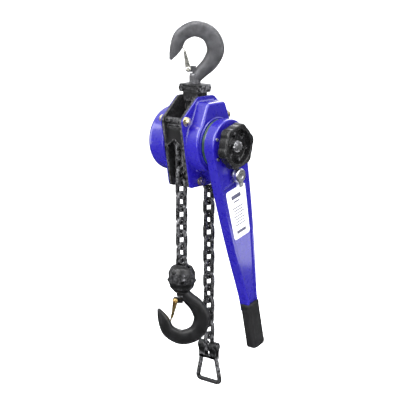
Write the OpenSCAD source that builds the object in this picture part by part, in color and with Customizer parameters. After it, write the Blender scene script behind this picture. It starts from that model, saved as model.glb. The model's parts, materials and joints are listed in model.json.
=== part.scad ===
// Lever chain hoist, 1.5 t class, with top and bottom hooks.
// Frame: +Z up, X along the drive shaft with the hand wheel at +X, load chain at -Y.
// The origin is the saddle of the top hook, where the hoist hangs.

/* [Hanging lengths] */
// Top hook saddle down to the drive shaft axis
saddle_to_shaft = 189; // [187:1:191]
// Links that hang on the load side (even)
load_links = 10; // [6:2:14]
// Links that hang on the tail side (odd)
tail_links = 17; // [11:2:21]

/* [Chain] */
// Wire diameter of the chain
wire_d = 8; // [7.8:0.1:8.2]
// Chain pitch
pitch = 24; // [23.9:0.1:24.1]
// Outer width of a link
link_w = 27; // [26.6:0.1:27.2]
// Play between two links in line
link_play = 0.6; // [0.55:0.05:0.8]

/* [Frame] */
// Half of the space between the two side plates
gap_half = 18.5; // [18:0.5:19]
// Thickness of a side plate
plate_t = 5; // [4:0.5:6]
// Radius of the gear cover drum
gear_drum_r = 61; // [60:0.5:62]
// Reach of the gear cover from the chain plane
gear_cover_x = 66; // [65:0.5:68]
// Radius of the brake cover drum
brake_drum_r = 56; // [55.5:0.5:57]
// Reach of the brake cover drum from the chain plane
brake_cover_x = 53; // [53:0.5:54]

/* [Gears] */
// Module of the drive pinion and the large compound wheel
first_module = 1.75; // [1.74:0.01:1.76]
// Backlash at the pitch circles
backlash = 0.2; // [0.15:0.01:0.25]

/* [Lever] */
// Length from the shaft to the end of the grip
lever_l = 413; // [405:1:420]
// Angle that the lever hangs away from plumb at rest
lever_tilt = 13; // [0:1:15]
// Radius of the lever head
lever_head_r = 47; // [46:0.5:48]
// Width of the rubber grip
grip_w = 36; // [34:0.5:38]
// Radius of the hand wheel over its lobes
hand_wheel_r = 42.5; // [41:0.5:42.5]

/* [Hooks] */
// Radius of the bowl of each hook
bowl_r = 22; // [21.5:0.5:22.5]
// Turn of both hooks away from the chain plane
hook_yaw = 40; // [0:5:90]
// Stem diameter inside the yoke and the block
stem_d = 16; // [15:0.5:17]

/* [Fits] */
// Radial clearance of a running fit
run_fit = 0.05; // [0.03:0.01:0.09]
// Clearance between faces that pass each other
face_gap = 0.15; // [0.1:0.05:0.3]

/* [Hidden] */
$fn = 48;

// Chain and sheave: five pockets, so one link turns the sheave by 36 degrees
pockets = 5;
link_turn = 180 / pockets;
link_bend_r = (link_w - wire_d) / 2;
link_reach = (pitch + link_play + wire_d) / 2;
link_straight = link_reach - link_bend_r;
// Links bend about the end wires of the flat links, so those wires lie on one circle
edge_reach = pitch - link_reach;
flat_half_turn = atan(link_reach * sin(link_turn) / (edge_reach + link_reach * cos(link_turn)));
pivot_r = link_reach / sin(flat_half_turn);
flat_apothem = pivot_r * cos(flat_half_turn);
edge_apothem = pivot_r * cos(link_turn - flat_half_turn);
// Lowest flat link's end wire, where a chain starts to hang
hang_angle = flat_half_turn - link_turn / 2;
hang_y = pivot_r * cos(hang_angle);
hang_z = -pivot_r * sin(hang_angle);
pin_d = 7.5;
// From the middle of an end link down to the pin that it carries
link_to_pin = (pitch + link_play) / 2 - 0.25 - pin_d / 2;
rim_r = flat_apothem + wire_d / 2 + 0.5;
groove_half = wire_d / 2 + 0.5;
groove_floor_r = edge_apothem - link_w / 2 - 0.6;
pocket_floor_r = flat_apothem - wire_d / 2 - 0.35;
pocket_play = 0.5;
sheave_half = gap_half - 1.5;
journal_r = 12;
bush_r = 15;

// Frame
plate_out = gap_half + plate_t;
flange_out = plate_out + 2.5;
top_pin_z = 62;
top_pin_r = 7.5;
stays = [[-55, 44], [55, 44], [-16, -71]];
stay_r = 5;
stay_thread_r = 4;
shell_t = 3;
pad_x = brake_cover_x - 1.4;

// Gear train 10 to 1
first_teeth = [9, 27];
second_teeth = [9, 30];
gear_centre = first_module * (first_teeth[0] + first_teeth[1]) / 2;
second_module = 2 * gear_centre / (second_teeth[0] + second_teeth[1]);
gear_shaft_r = 5;
load_gear_x = [-40, -28];
first_gear_x = [-53, -44];

// Drive line along X
shaft_r = 6;
thread_r = 7;
hub_r = 15;
disc_r = 30;
hub_face_x = 33;
disc_t = 2;
ratchet_x = [hub_face_x + face_gap + disc_t, hub_face_x + face_gap + disc_t + 5];
ratchet_r = 38;
ratchet_teeth = 16;
ratchet_depth = 4.5;
ratchet_step = 360 / ratchet_teeth;
pawl_pin_r = 3.5;
pawl_eye_r = 5.5;
pawl_nose = [[34.6, 0.5], [36.4, 9], [36.6, 16], [33.6, 25], [39.5, 27], [42.5, 22], [41.5, 6], [38.6, 0.5]];
pawl_spring_x = 30;
pawl_spring_r = 4.2;
pawl_centre_r = 46;
pawl_sweep = 40;
pawl_angles = [2 * ratchet_step, 10 * ratchet_step];
change_teeth = 12;
change_outer_r = 30;
change_root_r = 25;
change_x = [66, 78];
selector_drop = 57;
nose_r = 32.1;
nose_turn = 24.9;
selector_shaft_r = 5;
spigot_r = 26;
neck_r = 42;
lever_x = [60.5, 82];
lever_plate_t = 2.5;
wheel_x = [86, 106];

// Heights under the saddle
yoke_top = 104;
block_top_z = -228;
block_bottom_z = -279;
block_r = 25;
load_pin_z = link_z(load_links) - link_to_pin;
tail_pin_z = link_z(tail_links) - link_to_pin;
bottom_saddle_z = -354;
bottom_bowl_z = bottom_saddle_z + bowl_r;
stem_l = 18;
collar_r = stem_d / 2 + 3;
collar_t = 7;
latch_pivot = [-12, 36];
latch_end = [-20.8, -2.5];
latch_pin_r = 2.5;
lug_half = 2.6;
ear_half = 6.3;
ear_t = 1.8;
latch_lug_r = 5.5;
hook_neck_r = 10.4;
hook_neck_start = 48;
top_shoulder = saddle_to_shaft - yoke_top - bowl_r - face_gap;
bottom_shoulder = block_bottom_z - bottom_bowl_z - face_gap;
hook_steps = 4;
hook_sides = 16;
// Centre line of the hook around the bowl centre, with the stem along +y:
// [across, along, width in the plane, depth]
hook_stations = [
    [-43, 17, 7, 8],
    [-39, 8, 15, 14],
    [-bowl_r - 11.8, -4, 22, 18],
    [-24.4, -24.4, 25, 20],
    [0, -bowl_r - 14, 28, 22],
    [26.2, -26.2, 30, 23],
    [bowl_r + 15.5, 0, 31, 23],
    [28, 24, 28, 22],
    [12.5, 40, 24, 21],
    [1.5, 52, 21, 21]
];

// Yoke: block over two legs that hang on the top pin
yoke_block = [25, 15, 90];
yoke_mid = [17, 14, 74];
yoke_leg_x = 9.5;
yoke_leg_t = 9;
yoke_leg_r = 10.5;
yoke_screw = [19, 97];

// Chain guide and hook block details
guide_y = 54;
guide_t = 3;
guide_top_z = 36;
guide_foot_z = -38;
guide_peak = [[-15, -8], [-15, -3], [0, 8], [15, -3], [15, -8]];
guide_lip = 2.2;
block_bolt = [18.5, block_bottom_z + 22];
block_bolt_r = 2.5;
block_socket_r = 4.2;
block_slot_half = 4.8;

// Lever outline below the head, screws of its housing, and the end ring
lever_end_z = -lever_l + 95;
lever_edge = [[44, -16], [39, -101], [29.5, -197], [17, -293], [15, lever_end_z]];
screw_spots = [for (a = [35, 145, 200, 340]) [40 * cos(a), 40 * sin(a)]];
screw_r = 1.5;
screw_post_r = 3;
screw_head_r = 3.2;
boss_r = 31.5;
boss_t = 3.2;
boss_bore_r = 18;
trough_t = 2.5;
trough_top_z = -80;
head_space_z = -78;
tang_x = [66, 79];
tang_half = 11;
tang_z = -lever_l + 20;
grip_x = [60.5, 84.5];
grip_groove = 5;
label_t = 0.4;
label_edge = [[28, -83], [22.5, -180]];
knob_x = [wheel_x[0], 99];
knob_r = 13.2;
dish_r = 30;
dish_x = 94;
lobe_r = 14;
castle_x = [dish_x, 99, 103];
castle_r = [11.5, 9.5];
castle_slot = [5, 24, 3.2];
split_x = 100.5;
split_r = 1.2;
ring_wire = 9;
ring_barrel = [13.2, 16];
ring_corner = [28.5, -71];
ring_shoulder = [17, -22];

// ---------- helpers ----------

module on_shaft() translate([0, 0, -saddle_to_shaft]) children();

// Extrude a Y-Z outline along X
module along_x(x0, x1) translate([x0, 0, 0]) rotate([90, 0, 90]) linear_extrude(x1 - x0) children();

module rod_x(r, x0, x1, y = 0, z = 0) translate([x0, y, z]) rotate([0, 90, 0]) cylinder(r = r, h = x1 - x0);

module rod_y(r, y0, y1, x = 0, z = 0) translate([x, y1, z]) rotate([90, 0, 0]) cylinder(r = r, h = y1 - y0);

// Round drum from x = 0 outwards, with a rounded outer edge
module drum(r, h, corner) rotate([0, 90, 0]) rotate_extrude() {
    square([r, h - corner]);
    square([r - corner, h]);
    translate([r - corner, h - corner]) circle(corner);
}

module rounded(r) offset(r = r) offset(delta = -r) children();

module frame_outline() rounded(8)
    polygon([[-22, 84], [22, 84], [66, 46], [44, -80], [-44, -80], [-66, 46]]);

module lever_outline() {
    circle(lever_head_r);
    last = len(lever_edge) - 1;
    polygon(concat([for (p = lever_edge) [-p[0], p[1]]], [for (i = [last:-1:0]) lever_edge[i]]));
}

// Hexagon nut with a round flange and a domed top, standing on z = 0
module flange_nut(across, h) {
    cylinder(r = across * 0.66, h = 1.8);
    cylinder(d = across / cos(30), h = h * 0.7, $fn = 6);
    intersection() {
        translate([0, 0, h - across]) sphere(across);
        cylinder(r = across / 2, h = h);
    }
}

// Involute spur gear outline with a tooth on +x
function involute(base, t) = base * [cos(t) + t * PI / 180 * sin(t), sin(t) - t * PI / 180 * cos(t)];
function turn(p, a) = [p[0] * cos(a) - p[1] * sin(a), p[0] * sin(a) + p[1] * cos(a)];
function flank(teeth, m, steps = 5) =
    let (
        pitch_r = teeth * m / 2,
        base = pitch_r * cos(25),
        top_r = pitch_r + 0.8 * m,
        root_r = pitch_r - 1.1 * m,
        t0 = root_r > base ? sqrt(pow(root_r / base, 2) - 1) * 180 / PI : 0,
        t1 = sqrt(pow(top_r / base, 2) - 1) * 180 / PI,
        half = 90 / teeth - backlash / 4 / pitch_r * 180 / PI,
        roll = (tan(25) * 180 / PI - 25) + half,
        start = root_r < base ? [turn([root_r, 0], -roll)] : []
    )
    concat(start, [for (i = [0:steps]) turn(involute(base, t0 + (t1 - t0) * i / steps), -roll)]);
module gear_outline(teeth, m) {
    side = flank(teeth, m);
    n = len(side);
    polygon([for (k = [0:teeth - 1], i = [0:2 * n - 1])
        turn(i < n ? side[i] : [side[2 * n - 1 - i][0], -side[2 * n - 1 - i][1]], k * 360 / teeth)]);
}

// One chain link, long along Z and wide along X
module link() {
    for (end = [-1, 1])
        translate([0, 0, end * link_straight]) rotate([90 * end, 0, 0])
            rotate_extrude(angle = 180) translate([link_bend_r, 0]) circle(d = wire_d, $fn = 32);
    for (side = [-1, 1])
        translate([side * link_bend_r, 0, -link_straight])
            cylinder(d = wire_d, h = 2 * link_straight, $fn = 32);
}

// Links first to last of a chain that hangs at y; odd links stand along Y
function link_z(i) = hang_z - edge_reach - (i - 1) * pitch;
module hanging_links(y, first, last)
    for (i = [first:last])
        translate([0, y, link_z(i)]) rotate([0, 0, i % 2 * 90]) link();

// ---------- hooks ----------

function spline(a, b, c, d, t) =
    0.5 * (2 * b + (c - a) * t + (2 * a - 5 * b + 4 * c - d) * t * t + (3 * b - a - 3 * c + d) * t * t * t);
function station(i) = hook_stations[max(0, min(len(hook_stations) - 1, i))];
hook_line = [for (i = [0:len(hook_stations) - 2], k = [0:hook_steps - 1])
    spline(station(i - 1), station(i), station(i + 1), station(i + 2), k / hook_steps),
    station(len(hook_stations) - 1)];
function unit(v) = v / norm(v);
function hook_ring(i) =
    let (
        n = len(hook_line),
        a = hook_line[max(0, i - 1)],
        b = hook_line[min(n - 1, i + 1)],
        along = i == n - 1 ? [0, 1] : unit([b[0] - a[0], b[1] - a[1]]),
        across = [along[1], -along[0]],
        p = hook_line[i]
    )
    [for (k = [0:hook_sides - 1])
        let (c = 360 * k / hook_sides)
        [p[0] + across[0] * p[2] / 2 * cos(c), p[1] + across[1] * p[2] / 2 * cos(c), p[3] / 2 * sin(c)]];
module hook_sweep() {
    n = len(hook_line);
    points = [for (i = [0:n - 1], p = hook_ring(i)) p];
    sides = [for (i = [0:n - 2], k = [0:hook_sides - 1])
        let (k2 = (k + 1) % hook_sides)
        [i * hook_sides + k, i * hook_sides + k2, (i + 1) * hook_sides + k2, (i + 1) * hook_sides + k]];
    ends = [[for (k = [hook_sides - 1:-1:0]) k], [for (k = [0:hook_sides - 1]) (n - 1) * hook_sides + k]];
    polyhedron(points, concat(sides, ends));
}

// Whole hook in its own plane; shoulder is where the stem enters its yoke
module hook(shoulder) {
    difference() {
        union() {
            difference() {
                hook_sweep();
                translate([-30, shoulder, -20]) cube([60, 20, 40]);
            }
            translate([latch_pivot[0], latch_pivot[1], -lug_half])
                cylinder(r = latch_lug_r, h = 2 * lug_half);
            translate([latch_pivot[0], latch_pivot[1] - latch_lug_r, -lug_half])
                cube([14, 2 * latch_lug_r, 2 * lug_half]);
        }
        translate([latch_pivot[0], latch_pivot[1], -10]) cylinder(r = latch_pin_r, h = 20);
    }
    rotate([-90, 0, 0]) {
        translate([0, 0, hook_neck_start]) cylinder(r = hook_neck_r, h = shoulder - hook_neck_start);
        translate([0, 0, shoulder - 1]) cylinder(d = stem_d, h = stem_l + 2);
        translate([0, 0, shoulder + stem_l]) cylinder(r = collar_r, h = collar_t);
    }
}

// Stand the hook plane up, turned by the yaw; up = 1 has the stem at the top
module stand_hook(bowl_z, up) translate([0, 0, bowl_z]) rotate([0, 0, hook_yaw])
    mirror([0, 0, up > 0 ? 0 : 1]) rotate([90, 0, 0]) children();

// Pressed channel latch in the plane of the hook
module latch() {
    reach = norm(latch_end - latch_pivot);
    aim = atan2(latch_end[1] - latch_pivot[1], latch_end[0] - latch_pivot[0]);
    translate([latch_pivot[0], latch_pivot[1], 0]) rotate([0, 0, aim]) difference() {
        union() {
            for (z = [-ear_half - ear_t, ear_half]) translate([0, 0, z])
                linear_extrude(ear_t) hull() {
                    circle(5, $fn = 32);
                    translate([reach - 8, 0.8]) circle(2, $fn = 32);
                }
            translate([9, -1.2, -ear_half - ear_t]) cube([reach - 9, 2, 2 * (ear_half + ear_t)]);
        }
        translate([0, 0, -10]) cylinder(r = latch_pin_r + run_fit, h = 20);
    }
}

module latch_pin() translate([latch_pivot[0], latch_pivot[1], 0]) {
    half = ear_half + ear_t + face_gap;
    translate([0, 0, -half]) cylinder(r = latch_pin_r, h = 2 * half);
    for (z = [-half - 1.5, half]) translate([0, 0, z]) cylinder(r = 4, h = 1.5);
}

// Torsion spring: two packs of coils on the pin, each between the lug and an ear
module latch_spring() translate([latch_pivot[0], latch_pivot[1], 0])
    for (side = [-1, 1], i = [0:2]) translate([0, 0, side * (lug_half + 0.75 + i * 1.1)])
        rotate_extrude() translate([3.35, 0]) circle(0.6, $fn = 16);

module top_hook() color("dimgray") stand_hook(-bowl_r, -1) hook(top_shoulder);
module top_latch() color("silver") stand_hook(-bowl_r, -1) latch();
module top_latch_pin() color("silver") stand_hook(-bowl_r, -1) latch_pin();
module top_latch_spring() color("silver") stand_hook(-bowl_r, -1) latch_spring();

module bottom_hook() color("#26272b") on_shaft() stand_bottom() hook(bottom_shoulder);
module bottom_latch() color("goldenrod") on_shaft() stand_bottom() latch();
module bottom_latch_pin() color("goldenrod") on_shaft() stand_bottom() latch_pin();
module bottom_latch_spring() color("silver") on_shaft() stand_bottom() latch_spring();
module stand_bottom() translate([0, -hang_y, 0]) stand_hook(bottom_bowl_z, 1) children();

// ---------- top yoke ----------

module yoke_solid() difference() {
    union() {
        translate([-yoke_block[0], -yoke_block[1], yoke_block[2]])
            cube([2 * yoke_block[0], 2 * yoke_block[1], yoke_top - yoke_block[2]]);
        translate([-yoke_mid[0], -yoke_mid[1], yoke_mid[2]])
            cube([2 * yoke_mid[0], 2 * yoke_mid[1], yoke_block[2] - yoke_mid[2] + 1]);
        for (side = [-1, 1]) {
            x0 = side * yoke_leg_x - yoke_leg_t / 2;
            translate([x0, -yoke_leg_r, top_pin_z]) cube([yoke_leg_t, 2 * yoke_leg_r, 16]);
            rod_x(yoke_leg_r, x0, x0 + yoke_leg_t, 0, top_pin_z);
        }
    }
    rod_x(top_pin_r + run_fit, -20, 20, 0, top_pin_z);
    translate([0, 0, 70]) cylinder(d = stem_d + 2 * run_fit, h = 40);
    translate([0, 0, yoke_top - stem_l - collar_t])
        cylinder(r = collar_r + run_fit, h = collar_t + 2 * face_gap);
    for (side = [-1, 1]) rod_y(3, -16, 16, side * yoke_screw[0], yoke_screw[1]);
}
module yoke_half(y0) on_shaft() intersection() {
    yoke_solid();
    translate([-30, y0, 40]) cube([60, 20, 80]);
}
module yoke_front() color("#222222") yoke_half(-20);
module yoke_rear() color("#222222") yoke_half(0);
module yoke_screws() color("#333333") on_shaft() for (side = [-1, 1]) {
    rod_y(3, -yoke_block[1], yoke_block[1] + 2, side * yoke_screw[0], yoke_screw[1]);
    rod_y(4.8, -yoke_block[1] - 3.5, -yoke_block[1], side * yoke_screw[0], yoke_screw[1]);
    translate([side * yoke_screw[0], yoke_block[1], yoke_screw[1]])
        rotate([-90, 0, 0]) cylinder(r = 5, h = 3.5, $fn = 6);
}
module top_pin() color("gray") on_shaft() rod_x(top_pin_r, -plate_out, plate_out, 0, top_pin_z);

// ---------- frame ----------

module side_plate(x0, gear_side) difference() {
    along_x(x0, x0 + plate_t) frame_outline();
    rod_x(bush_r, x0 - 1, x0 + plate_t + 1);
    rod_x(top_pin_r, x0 - 1, x0 + plate_t + 1, 0, top_pin_z);
    for (s = stays) rod_x(stay_thread_r, x0 - 1, x0 + plate_t + 1, s[0], s[1]);
    if (gear_side) for (side = [-1, 1])
        rod_x(gear_shaft_r + run_fit, x0 - 1, x0 + plate_t + 1, side * gear_centre);
    else for (a = pawl_angles)
        rod_x(pawl_pin_r, x0 - 1, x0 + plate_t + 1, pawl_centre_r * cos(a), pawl_centre_r * sin(a));
}
module gear_side_plate() color("#1b1b1d") on_shaft() side_plate(-plate_out, true);
module brake_side_plate() color("#1b1b1d") on_shaft() side_plate(gap_half, false);

module gear_cover() color("#2d2aaf") on_shaft() mirror([1, 0, 0]) difference() {
    union() {
        along_x(plate_out, flange_out) union() {
            frame_outline();
            circle(gear_drum_r);
        }
        difference() {
            translate([plate_out, 0, 0]) drum(gear_drum_r, gear_cover_x - plate_out, 9.5);
            translate([plate_out - 1, 0, 0])
                drum(gear_drum_r - shell_t, gear_cover_x - plate_out + 1 - shell_t, 7);
        }
        rod_x(9, 56, gear_cover_x - 1);
        for (side = [-1, 1]) rod_x(8, 55, gear_cover_x - 1, side * gear_centre);
    }
    rod_x(gear_drum_r - shell_t, plate_out - 1, flange_out + 1);
    rod_x(gear_shaft_r + run_fit, 54, 61.5);
    for (side = [-1, 1]) rod_x(gear_shaft_r + run_fit, 53, 60, side * gear_centre);
    for (s = stays) rod_x(stay_thread_r, plate_out - 1, flange_out + 1, s[0], s[1]);
}

// Raised part of the brake cover: drum, crown between the upper nuts and a foot below
module brake_pad_outline() rounded(5) {
    circle(brake_drum_r);
    polygon([[-44, 30], [-24, 76], [24, 76], [44, 30]]);
    polygon([[-22, -40], [3, -74], [30, -74], [38, -40]]);
}
module brake_cover() color("#2d2aaf") on_shaft() difference() {
    union() {
        along_x(plate_out, flange_out) frame_outline();
        along_x(flange_out - 0.5, pad_x - 2.5) brake_pad_outline();
        along_x(pad_x - 3, pad_x) offset(delta = -2.5) brake_pad_outline();
        translate([plate_out, 0, 0]) drum(brake_drum_r, brake_cover_x - plate_out, 6);
        rod_x(neck_r, brake_cover_x - 1, 59.5);
        rod_x(spigot_r, 59, 64);
    }
    translate([plate_out - 1, 0, 0]) drum(brake_drum_r - shell_t, brake_cover_x - plate_out + 1 - shell_t, 4);
    along_x(plate_out - 1, pad_x - 4) offset(delta = -shell_t) brake_pad_outline();
    rod_x(hub_r + 0.5, 45, 65);
    for (s = stays) rod_x(stay_thread_r, plate_out - 1, flange_out + 1, s[0], s[1]);
}

module stay_bolts() color("#222222") on_shaft() for (s = stays) {
    rod_x(stay_r, -gap_half, gap_half, s[0], s[1]);
    rod_x(stay_thread_r, -flange_out - 6, flange_out + 6, s[0], s[1]);
}
module stay_nuts() color("#c9b458") on_shaft() for (s = stays, side = [-1, 1])
    translate([side * flange_out, s[0], s[1]]) rotate([0, side * 90, 0]) difference() {
        flange_nut(13, 8.5);
        translate([0, 0, -1]) cylinder(r = stay_thread_r, h = 7);
    }

// Hood over the sheave, with a lipped and peaked opening on each side where the chain leaves
module guide_wall() difference() {
    union() {
        translate([-gap_half, guide_y, -2]) cube([2 * gap_half, guide_t, guide_top_z - 2]);
        for (x0 = [-gap_half, gap_half - 3.5])
            translate([x0, guide_y, guide_foot_z]) cube([3.5, guide_t, -guide_foot_z]);
        translate([0, guide_y + guide_t + 1.5, 0]) rotate([90, 0, 0]) linear_extrude(2) difference() {
            offset(delta = guide_lip) polygon(guide_peak);
            translate([-30, -20]) square([60, 14]);
        }
    }
    translate([0, guide_y + 6, 0]) rotate([90, 0, 0]) linear_extrude(8) polygon(guide_peak);
}
module chain_guide() color("#1e1e20") on_shaft() {
    guide_wall();
    mirror([0, 1, 0]) guide_wall();
    translate([-gap_half, -guide_y - 1, guide_top_z - 3]) cube([2 * gap_half, 12, 3]);
}

// Block under the sheave with a tongue that lifts the links out of the groove
module chain_stripper() color("#1e1e20") on_shaft() {
    translate([-gap_half, -9, -60]) cube([2 * gap_half, 26, 12]);
    along_x(-groove_half + 0.8, groove_half - 0.8)
        polygon([[-9, -49], [-15, -30], [-11, -26.5], [11, -26.5], [15, -30], [17, -49]]);
}

module sheave_bushes() color("#b08d57") on_shaft() for (x0 = [-plate_out, gap_half]) difference() {
    rod_x(bush_r, x0, x0 + plate_t);
    rod_x(journal_r + run_fit, x0 - 1, x0 + plate_t + 1);
}

// ---------- sheave and gears ----------

module load_sheave() color("#3a3a3c") on_shaft() difference() {
    union() {
        rod_x(rim_r, -sheave_half, sheave_half);
        rod_x(journal_r, -plate_out - 1.5, plate_out + 1);
        rod_x(journal_r - 1, load_gear_x[0] - 1, -plate_out);
    }
    difference() {
        rod_x(rim_r + 1, -groove_half, groove_half);
        rod_x(groove_floor_r, -groove_half - 1, groove_half + 1);
    }
    for (k = [0:pockets - 1]) rotate([k * 2 * link_turn, 0, 0]) translate([0, 0, pocket_floor_r])
        linear_extrude(15) {
            for (end = [-1, 1]) translate([0, end * link_straight]) circle(link_w / 2 + pocket_play);
            square([link_w + 2 * pocket_play, 2 * link_straight], center = true);
        }
    rod_x(shaft_r + 0.4, -50, 50);
}

// Links seated on the sheave between the two tangent points
module sheave_links() color("#2b2b2e") on_shaft() for (i = [0:pockets - 1])
    rotate([(i - 2) * link_turn, 0, 0]) translate([0, 0, i % 2 == 0 ? flat_apothem : edge_apothem])
        rotate([90, 0, 0]) rotate([0, 0, i % 2 * 90]) link();

module load_gear() color("#8b8d90") on_shaft() difference() {
    along_x(load_gear_x[0], load_gear_x[1]) gear_outline(second_teeth[1], second_module);
    rod_x(journal_r - 1, load_gear_x[0] - 1, load_gear_x[1] + 1);
}

module compound_gear(y, small_turn) on_shaft() translate([0, y, 0]) {
    along_x(first_gear_x[0], first_gear_x[1]) gear_outline(first_teeth[1], first_module);
    along_x(first_gear_x[1] - 0.5, -27) rotate(small_turn) gear_outline(second_teeth[0], second_module);
    rod_x(gear_shaft_r, -58.5, -gap_half - 0.5);
}
module gear_a() color("#9a9c9f") compound_gear(gear_centre, 0);
module gear_b() color("#9a9c9f") compound_gear(-gear_centre, 180);

module drive_shaft() color("#9a9c9f") on_shaft() difference() {
    union() {
        along_x(first_gear_x[0] - 0.5, first_gear_x[1] + 0.5) gear_outline(first_teeth[0], first_module);
        rod_x(gear_shaft_r, -61, first_gear_x[0]);
        rod_x(shaft_r, first_gear_x[1], 104);
        rod_x(thread_r, 26, wheel_x[0] - 1);
    }
    rod_y(split_r + run_fit, -10, 10, split_x);
}

// ---------- brake ----------

module friction_hub() color("#7d7f83") on_shaft() difference() {
    union() {
        rod_x(disc_r, 28.5, hub_face_x);
        rod_x(hub_r, 26, ratchet_x[1] + disc_t);
    }
    rod_x(thread_r, 25, 45);
}
module friction_disc(x0) difference() {
    rod_x(disc_r, x0, x0 + disc_t);
    rod_x(hub_r + 0.4, x0 - 1, x0 + disc_t + 1);
}
module friction_disc_inner() color("#5a3a2e") on_shaft() friction_disc(ratchet_x[0] - disc_t);
module friction_disc_outer() color("#5a3a2e") on_shaft() friction_disc(ratchet_x[1]);

module ratchet_disc() color("#85878a") on_shaft() difference() {
    along_x(ratchet_x[0], ratchet_x[1])
        polygon([for (i = [0:ratchet_teeth - 1], r = [ratchet_r, ratchet_r - ratchet_depth])
            turn([r, 0], i * ratchet_step - pawl_sweep)]);
    rod_x(hub_r + 0.3, ratchet_x[0] - 1, ratchet_x[1] + 1);
}

// Pawl for a pivot on the +y side; its nose stands in front of a tooth face
module brake_pawl(angle) rotate([angle, 0, 0]) difference() {
    union() {
        along_x(ratchet_x[0] + 0.4, ratchet_x[1] - 0.4) rotate(-pawl_sweep) polygon(pawl_nose);
        rod_x(pawl_eye_r, ratchet_x[0] + 0.4, ratchet_x[1] - 0.4, pawl_centre_r);
    }
    rod_x(pawl_pin_r + run_fit, ratchet_x[0] - 1, ratchet_x[1] + 1, pawl_centre_r);
}
module brake_pawl_a() color("#85878a") on_shaft() brake_pawl(pawl_angles[0]);
module brake_pawl_b() color("#85878a") on_shaft() brake_pawl(pawl_angles[1]);

module pawl_pins() color("silver") on_shaft() for (a = pawl_angles) {
    y = pawl_centre_r * cos(a);
    z = pawl_centre_r * sin(a);
    rod_x(pawl_pin_r, gap_half, ratchet_x[1] + 1.5, y, z);
    rod_x(5, plate_out, 29, y, z);
}
module pawl_springs() color("silver") on_shaft() for (a = pawl_angles)
    for (i = [0:3]) translate([pawl_spring_x + i * 1.3, pawl_centre_r * cos(a), pawl_centre_r * sin(a)])
        rotate([0, 90, 0]) rotate_extrude() translate([pawl_spring_r, 0]) circle(0.7, $fn = 16);

// ---------- lever side of the drive ----------

module changing_gear() color("#85878a") on_shaft() difference() {
    union() {
        rod_x(disc_r, ratchet_x[1] + disc_t + face_gap, 47);
        rod_x(hub_r, 46, change_x[0] + 1);
        along_x(change_x[0], change_x[1]) rotate(lever_tilt - 90)
            polygon([for (k = [0:change_teeth - 1], p = [[change_root_r, -9], [change_outer_r, -4.2],
                [change_outer_r, 4.2], [change_root_r, 9]]) turn([p[0], 0], k * 360 / change_teeth + p[1])]);
        rod_x(18, change_x[1] - 1, wheel_x[0] - 1);
    }
    rod_x(thread_r, 40, 90);
}

module wheel_outline() {
    circle(hand_wheel_r - 3.5);
    for (k = [0:5]) rotate(k * 60 + 15) translate([hand_wheel_r - lobe_r, 0]) circle(lobe_r);
}
module hand_wheel() color("#161616") on_shaft() difference() {
    union() {
        along_x(wheel_x[0] + 2, wheel_x[1] - 2) rounded(3) wheel_outline();
        along_x(wheel_x[0], wheel_x[1]) offset(delta = -2) wheel_outline();
    }
    rod_x(dish_r, dish_x, wheel_x[1] + 1);
    rod_x(shaft_r, wheel_x[0] - 1, wheel_x[1] + 1);
}
module castle_nut() color("silver") on_shaft() difference() {
    union() {
        translate([castle_x[0], 0, 0]) rotate([0, 90, 0])
            cylinder(r = castle_r[0], h = castle_x[1] - castle_x[0] + 1, $fn = 6);
        rod_x(castle_r[1], castle_x[1], castle_x[2]);
    }
    rod_x(shaft_r, castle_x[0] - 4, castle_x[2] + 1);
    for (k = [0:2]) rotate([k * 60, 0, 0])
        translate([castle_x[1] + 0.2, -castle_slot[1] / 2, -castle_slot[2] / 2]) cube(castle_slot);
}
module split_pin() color("silver") on_shaft() {
    rod_y(split_r, -11.5, 11.5, split_x);
    translate([split_x, -12.2, 0]) sphere(2, $fn = 16);
}

// ---------- lever ----------

module in_lever() on_shaft() rotate([lever_tilt, 0, 0]) children();

module lever_back_cover() color("#2d2aaf") in_lever() difference() {
    along_x(lever_x[0], lever_x[0] + lever_plate_t) lever_outline();
    through = [lever_x[0] - 0.5, lever_x[0] + 3.5];
    rod_x(spigot_r + run_fit, through[0], through[1]);
    rod_x(selector_shaft_r + run_fit, through[0], through[1], 0, -selector_drop);
    for (s = screw_spots) rod_x(screw_r, through[0], through[1], s[0], s[1]);
}
// Lever outline moved inwards, cut to a height of h from z0
module lever_part(less, z0, h) intersection() {
    offset(delta = -less) lever_outline();
    translate([-60, z0]) square([120, h]);
}
// Tang that the grip sits on
module tang(l) translate([tang_x[0], -tang_half, tang_z]) cube([tang_x[1] - tang_x[0], 2 * tang_half, l]);
module lever_front_housing() color("#2d2aaf") in_lever() difference() {
    union() {
        along_x(lever_x[0] + lever_plate_t, lever_x[1]) lever_outline();
        rod_x(boss_r, lever_x[1] - 1, lever_x[1] + boss_t);
        tang(80);
        for (s = screw_spots) rod_x(screw_post_r, lever_x[0] + 3.5, lever_x[1] - 2, s[0], s[1]);
    }
    difference() {
        along_x(lever_x[0], lever_x[1] - lever_plate_t) lever_part(lever_plate_t, head_space_z, 140);
        for (s = screw_spots) rod_x(screw_post_r + 0.4, lever_x[0] - 0.5, lever_x[1] - 2, s[0], s[1]);
    }
    along_x(lever_x[0], lever_x[1] - lever_plate_t - 3) lever_part(lever_plate_t, -300, 223);
    along_x(lever_x[1] - trough_t, lever_x[1] + 1) rounded(4) lever_part(6, -302, 302 + trough_top_z);
    rod_x(boss_bore_r + run_fit, lever_x[0] + 9.5, lever_x[1] + boss_t + 1);
    rod_x(selector_shaft_r + run_fit, lever_x[0] + 9.5, lever_x[1] + 1, 0, -selector_drop);
    for (s = screw_spots) rod_x(screw_r, lever_x[0] - 0.5, lever_x[1] + 1, s[0], s[1]);
}
module lever_screws() color("silver") in_lever() for (s = screw_spots) {
    rod_x(screw_r, lever_x[0], lever_x[1], s[0], s[1]);
    rod_x(screw_head_r, lever_x[1], lever_x[1] + 2, s[0], s[1]);
}
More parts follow.
